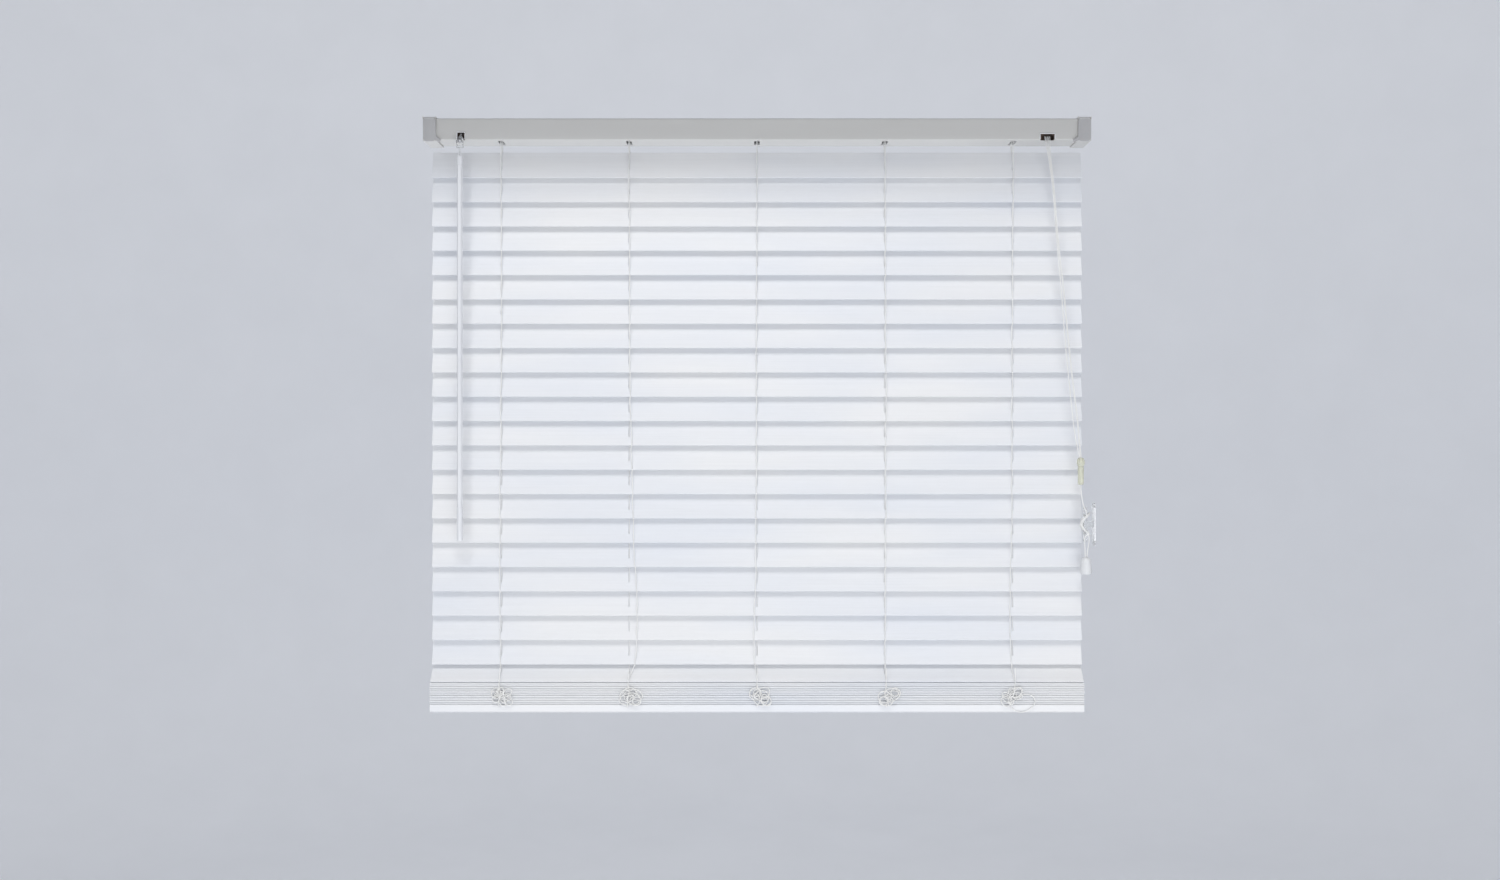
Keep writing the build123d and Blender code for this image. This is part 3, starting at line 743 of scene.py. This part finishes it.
def edge_highlight_and_wear(material, radius, base, highlight_and_wear_color, amount=0.6):
    """A colour that turns to another along sharp edges, broken up by noise: lighter edges are a painted
    highlight, and brown edges on the dark housings are rubbed wear.
    """
    bevel = add_node(material, "ShaderNodeBevel", samples=4)
    bevel.inputs["Radius"].default_value = radius
    flat = add_node(material, "ShaderNodeNewGeometry")
    dot = add_node(material, "ShaderNodeVectorMath", operation="DOT_PRODUCT")
    join(material, bevel.outputs["Normal"], dot.inputs[0])
    join(material, flat.outputs["Normal"], dot.inputs[1])
    edge = add_node(material, "ShaderNodeMapRange")
    edge.inputs["From Min"].default_value = 1.0
    edge.inputs["From Max"].default_value = 0.80
    edge.inputs["To Max"].default_value = amount
    join(material, dot.outputs["Value"], edge.inputs["Value"])
    broken = add_node(material, "ShaderNodeMath", operation="MULTIPLY")
    join(material, edge.outputs["Result"], broken.inputs[0])
    join(material, noise(material, (1, 1, 1), 260.0), broken.inputs[1])
    mix = add_node(material, "ShaderNodeMix", data_type="RGBA")
    join(material, broken.outputs["Value"], mix.inputs["Factor"])
    join(material, base, mix.inputs[MIX_A])
    mix.inputs[MIX_B].default_value = (*highlight_and_wear_color, 1)
    return mix.outputs[MIX_RESULT]


def faux_wood():
    """Satin white slats with a faint pressed grain that runs along them."""
    material, shader = new_material(
        "faux_wood", (0.80, 0.81, 0.83), 0.42, Coat_Weight=0.12, Coat_Roughness=0.3,
    )
    grain = noise(material, (5, 420, 420), 1.0, 5.0, 0.62)
    cloud = noise(material, (2.2, 9, 9), 1.0, 2.0)
    pores = noise(material, (60, 1500, 1500), 1.0, 2.0, 0.5)
    tint = ramp(material, cloud, [(0.32, (0.780, 0.800, 0.840)), (0.66, (0.840, 0.843, 0.850))])
    lines = ramp(material, grain, [(0.35, (0.93, 0.93, 0.93)), (0.60, (1, 1, 1))])
    join(material, multiplied(material, 0.35, tint, lines), shader.inputs["Base Color"])
    join(material, spread(material, grain, 0.36, 0.52), shader.inputs["Roughness"])
    bump(material, shader, [(grain, 0.10), (pores, 0.06)], 0.0004)
    return material


def painted_steel():
    """Stove-enamelled steel with a slight orange peel, and folds and edges painted lighter as a highlight.
    """
    material, shader = new_material(
        "painted_steel", (0.69, 0.69, 0.68), 0.34, Coat_Weight=0.2, Coat_Roughness=0.2,
    )
    cloud = noise(material, (1.5, 14, 14), 1.0, 3.0)
    peel = noise(material, (1, 1, 1), 620.0, 2.0)
    tint = ramp(material, cloud, [(0.3, (0.68, 0.672, 0.645)), (0.7, (0.72, 0.712, 0.685))])
    # the folds and edges turn lighter here: a painted highlight
    join(material, edge_highlight_and_wear(material, 0.0010, tint, (0.80, 0.80, 0.79)), shader.inputs["Base Color"])
    join(material, spread(material, peel, 0.28, 0.42), shader.inputs["Roughness"])
    bump(material, shader, [(peel, 0.06)], 0.0003)
    return material


def white_plastic(name="white_plastic", low=(0.74, 0.75, 0.76), high=(0.80, 0.81, 0.82), rough=(0.22, 0.36)):
    """Moulded plastic with flow marks, a fine spark-eroded texture and edges painted lighter as a highlight.
    """
    material, shader = new_material(name, high, rough[0])
    flow = noise(material, (30, 30, 9), 1.0, 4.0, 0.6)
    grit = noise(material, (1, 1, 1), 1400.0, 2.0)
    tint = ramp(material, flow, [(0.3, low), (0.7, high)])
    # the edges turn lighter here: a painted highlight
    join(material, edge_highlight_and_wear(material, 0.0006, tint, (0.86, 0.86, 0.86), 0.4), shader.inputs["Base Color"])
    join(material, spread(material, flow, *rough), shader.inputs["Roughness"])
    bump(material, shader, [(grit, 0.05)], 0.0002)
    return material


def clear_plastic(name, color, density, roughness):
    """Clear or tinted moulded plastic, with flow lines and fine scratches."""
    material, shader = new_material(name, color, roughness, Transmission_Weight=density, IOR=1.46)
    flow = noise(material, (40, 40, 12), 1.0, 3.0)
    scratch = noise(material, (900, 900, 60), 1.0, 2.0)
    join(material, spread(material, scratch, roughness, roughness + 0.14), shader.inputs["Roughness"])
    tint = ramp(material, flow, [(0.3, tuple(c * 0.95 for c in color)), (0.7, color)])
    join(material, tint, shader.inputs["Base Color"])
    bump(material, shader, [(flow, 0.15), (scratch, 0.03)], 0.0004)
    return material


def zinc_steel():
    """Bright zinc plate with a drawn grain and cloudy patches."""
    material, shader = new_material("zinc_steel", (0.62, 0.62, 0.63), 0.32, 1.0)
    drawn = noise(material, (6, 900, 900), 1.0, 3.0)
    cloud = noise(material, (1, 1, 1), 90.0, 4.0)
    tint = ramp(material, cloud, [(0.3, (0.52, 0.53, 0.54)), (0.7, (0.68, 0.68, 0.69))])
    join(material, tint, shader.inputs["Base Color"])
    join(material, spread(material, drawn, 0.22, 0.46), shader.inputs["Roughness"])
    bump(material, shader, [(drawn, 0.10)], 0.0002)
    return material


def knurled_brass():
    """Brass with fine teeth along the roller and darker tarnish between them."""
    material, shader = new_material("knurled_brass", (0.60, 0.36, 0.20), 0.3, 1.0)
    teeth = add_node(material, "ShaderNodeTexWave", Scale=9.0, Distortion=0.6)
    teeth.bands_direction = "X"
    join(material, stretched(material, (90, 4, 90)), teeth.inputs["Vector"])
    tarnish = noise(material, (1, 1, 1), 500.0, 3.0)
    tint = ramp(material, tarnish, [(0.35, (0.34, 0.18, 0.10)), (0.65, (0.66, 0.42, 0.26))])
    join(material, tint, shader.inputs["Base Color"])
    join(material, spread(material, tarnish, 0.24, 0.44), shader.inputs["Roughness"])
    bump(material, shader, [(teeth.outputs["Fac"], 0.5)], 0.0004)
    return material


def braided_cord(name="braided_cord", dark=(0.84, 0.838, 0.825), light=(0.93, 0.93, 0.92)):
    """Braided polyester: crossing strands, a soft sheen, painted shade in the hollows between the strands
    and a slight random grime.
    """
    material, shader = new_material(name, light, 0.72, Sheen_Weight=0.35, Sheen_Roughness=0.4)
    where = stretched(material, (1, 1, 1))
    crossing = []
    for direction in ("DIAGONAL", "Z"):
        wave = add_node(material, "ShaderNodeTexWave", Scale=420.0, Distortion=1.5, Detail=1.0)
        wave.bands_direction = direction
        join(material, where, wave.inputs["Vector"])
        crossing.append(wave.outputs["Fac"])
    both = add_node(material, "ShaderNodeMath", operation="MAXIMUM")
    join(material, crossing[0], both.inputs[0])
    join(material, crossing[1], both.inputs[1])
    grime = noise(material, (1, 1, 1), 45.0, 4.0)
    # the dark end of this ramp falls in the hollows between the strands: painted shade
    base = ramp(material, both.outputs["Value"], [(0.1, dark), (0.7, light)])
    grubby = ramp(material, grime, [(0.3, (0.95, 0.945, 0.925)), (0.6, (1, 1, 1))])
    join(material, multiplied(material, 0.5, base, grubby), shader.inputs["Base Color"])
    join(material, spread(material, grime, 0.62, 0.82), shader.inputs["Roughness"])
    bump(material, shader, [(both.outputs["Value"], 0.5)], 0.0003)
    return material


def dark_housing():
    """The dark bodies of the lock and the tilter, brown where they are rubbed."""
    material, shader = new_material("dark_housing", (0.10, 0.08, 0.07), 0.45, 0.6)
    cloud = noise(material, (1, 1, 1), 120.0, 4.0)
    tint = ramp(material, cloud, [(0.3, (0.07, 0.06, 0.055)), (0.7, (0.16, 0.11, 0.085))])
    join(material, edge_highlight_and_wear(material, 0.0006, tint, (0.42, 0.30, 0.22)), shader.inputs["Base Color"])
    join(material, spread(material, cloud, 0.35, 0.6), shader.inputs["Roughness"])
    bump(material, shader, [(cloud, 0.1)], 0.0003)
    return material


slats_material = faux_wood()
steel_material = painted_steel()
plastic_material = white_plastic()
gate_material = white_plastic("gate_plastic", (0.53, 0.525, 0.525), (0.59, 0.585, 0.585), (0.30, 0.42))
wand_material = white_plastic("wand_plastic", (0.75, 0.76, 0.79), (0.81, 0.82, 0.84), (0.16, 0.26))
clear_material = clear_plastic("clear_plastic", (0.93, 0.94, 0.94), 0.90, 0.08)
tinted_material = clear_plastic("tinted_plastic", (0.86, 0.865, 0.72), 0.50, 0.18)
zinc_material = zinc_steel()
brass_material = knurled_brass()
cord_material = braided_cord()
# a lighter copy of the cord material for the slack loops: painted light that offsets the shade the loops
# cast on one another
lit_loop_material = braided_cord("braided_loops_lit", (0.90, 0.89, 0.86), (0.95, 0.945, 0.93))
lip_material = white_plastic("lip_plastic", (0.86, 0.865, 0.87), (0.90, 0.905, 0.91), (0.20, 0.30))
dark_material = dark_housing()

node_materials = {
    "headrail": steel_material,
    "box_brackets": steel_material,
    "gate_left": gate_material,
    "gate_right": gate_material,
    "wand_tilter": dark_material,
    "ladder_cradles": plastic_material,
    "cord_lock": dark_material,
    "cord_cleat": clear_material,
    "cord_joiner": tinted_material,
    "cord_tassel": plastic_material,
    "tilt_rod": zinc_material,
    "tilt_drums": plastic_material,
    "tilter_stem": zinc_material,
    "wand_hook": clear_material,
    "tilt_wand": wand_material,
    "lock_roller": brass_material,
    "bottom_rail": slats_material,
    "stacked_slats": slats_material,
    "lift_cord_21": cord_material,
}
for number in range(1, SLAT_COUNT + 1):
    node_materials[f"slat_{number:02d}"] = slats_material
for name, material in node_materials.items():
    data = nodes[name].data
    data.materials.clear()
    data.materials.append(material)
for pieces, material in (
    (cords + string_pieces, cord_material),
    (slack_strings, lit_loop_material),
    (plugs, plastic_material),
    (lips, lip_material),
):
    for piece in pieces:
        piece.data.materials.append(material)


# ================================ studio ================================
def studio_bowl():
    """A pale floor that curves up into a round wall, far enough out to stand behind every camera."""
    floor_z = -2.5
    radius = 6.0
    bend = 1.6
    bend_steps = 12
    top = 5.0
    sides = 72
    profile = [(0.02, 0.0), (1.5, 0.0), (3.0, 0.0), (radius - bend, 0.0)]
    for count in range(1, bend_steps + 1):
        angle = pi / 2 * count / bend_steps
        profile.append((radius - bend + bend * sin(angle), bend - bend * cos(angle)))
    profile.append((radius, top))
    vertices, faces = [], []
    for distance, height in profile:
        for side in range(sides):
            angle = tau * side / sides
            vertices.append((distance * cos(angle), distance * sin(angle), floor_z + height))
    for ring in range(len(profile) - 1):
        for side in range(sides):
            after = (side + 1) % sides
            low, high = ring * sides, (ring + 1) * sides
            faces.append((low + side, low + after, high + after, high + side))
    faces.append(tuple(reversed(range(sides))))
    bowl = link_mesh("studio_floor", vertices, faces)
    material, shader = new_material("studio_paint", (0.83, 0.845, 0.88), 0.9)
    mottle = noise(material, (1, 1, 1), 3.0, 4.0)
    tint = ramp(material, mottle, [(0.3, (0.82, 0.835, 0.87)), (0.7, (0.84, 0.855, 0.89))])
    join(material, tint, shader.inputs["Base Color"])
    bowl.data.materials.append(material)


def area_light(name, location, target, size, power, color):
    """A soft rectangular light that no camera sees."""
    data = bpy.data.lights.new(name, "AREA")
    data.shape = "RECTANGLE"
    data.size, data.size_y = size
    data.energy = power
    data.color = color
    light = bpy.data.objects.new(name, data)
    bpy.context.scene.collection.objects.link(light)
    light.location = location
    light.rotation_mode = "QUATERNION"
    light.rotation_quaternion = (Vector(target) - Vector(location)).to_track_quat("-Z", "Y")
    light.visible_camera = False


def light_flag():
    """A flag that keeps the key light off the headrail and the first slats, as the top of a recess does."""
    half_long = 0.72
    front, low = -0.160, 0.056
    back, high = 0.040, 0.245
    corners = [
        (-half_long, front, low), (half_long, front, low), (half_long, back, high), (-half_long, back, high),
    ]
    flag = link_mesh("light_flag", corners, [(0, 1, 2, 3)])
    material, shader = new_material("flag_felt", (0.20, 0.20, 0.21), 0.95)
    felt = noise(material, (1, 1, 1), 80.0)
    join(material, spread(material, felt, 0.9, 1.0), shader.inputs["Roughness"])
    flag.data.materials.append(material)
    flag.visible_camera = False


studio_bowl()
light_flag()
middle = (0.0, 0.0, -0.55)
warm, cool = (1.0, 0.996, 0.985), (0.98, 0.99, 1.0)
area_light("key", (-0.5, -3.4, 3.7), middle, (3.0, 2.0), 120, warm)
area_light("fill", (0.2, -2.9, -1.5), (0.0, 0.0, -0.3), (3.4, 1.0), 40, cool)
area_light("back", (0.5, 3.2, 2.2), middle, (3.5, 2.5), 12, cool)
area_light("back_low", (-0.6, 3.4, -1.3), middle, (3.5, 1.4), 8, cool)
area_light("backdrop", (0.0, 1.2, 2.9), (0.0, 6.0, 0.6), (4.0, 1.0), 59, cool)

world = bpy.data.worlds.new("world")
bpy.context.scene.world = world
world.use_nodes = True
background = world.node_tree.nodes["Background"]
background.inputs["Color"].default_value = (0.95, 0.965, 1.0, 1)
background.inputs["Strength"].default_value = 0.30
bpy.context.scene.view_settings.view_transform = "Standard"
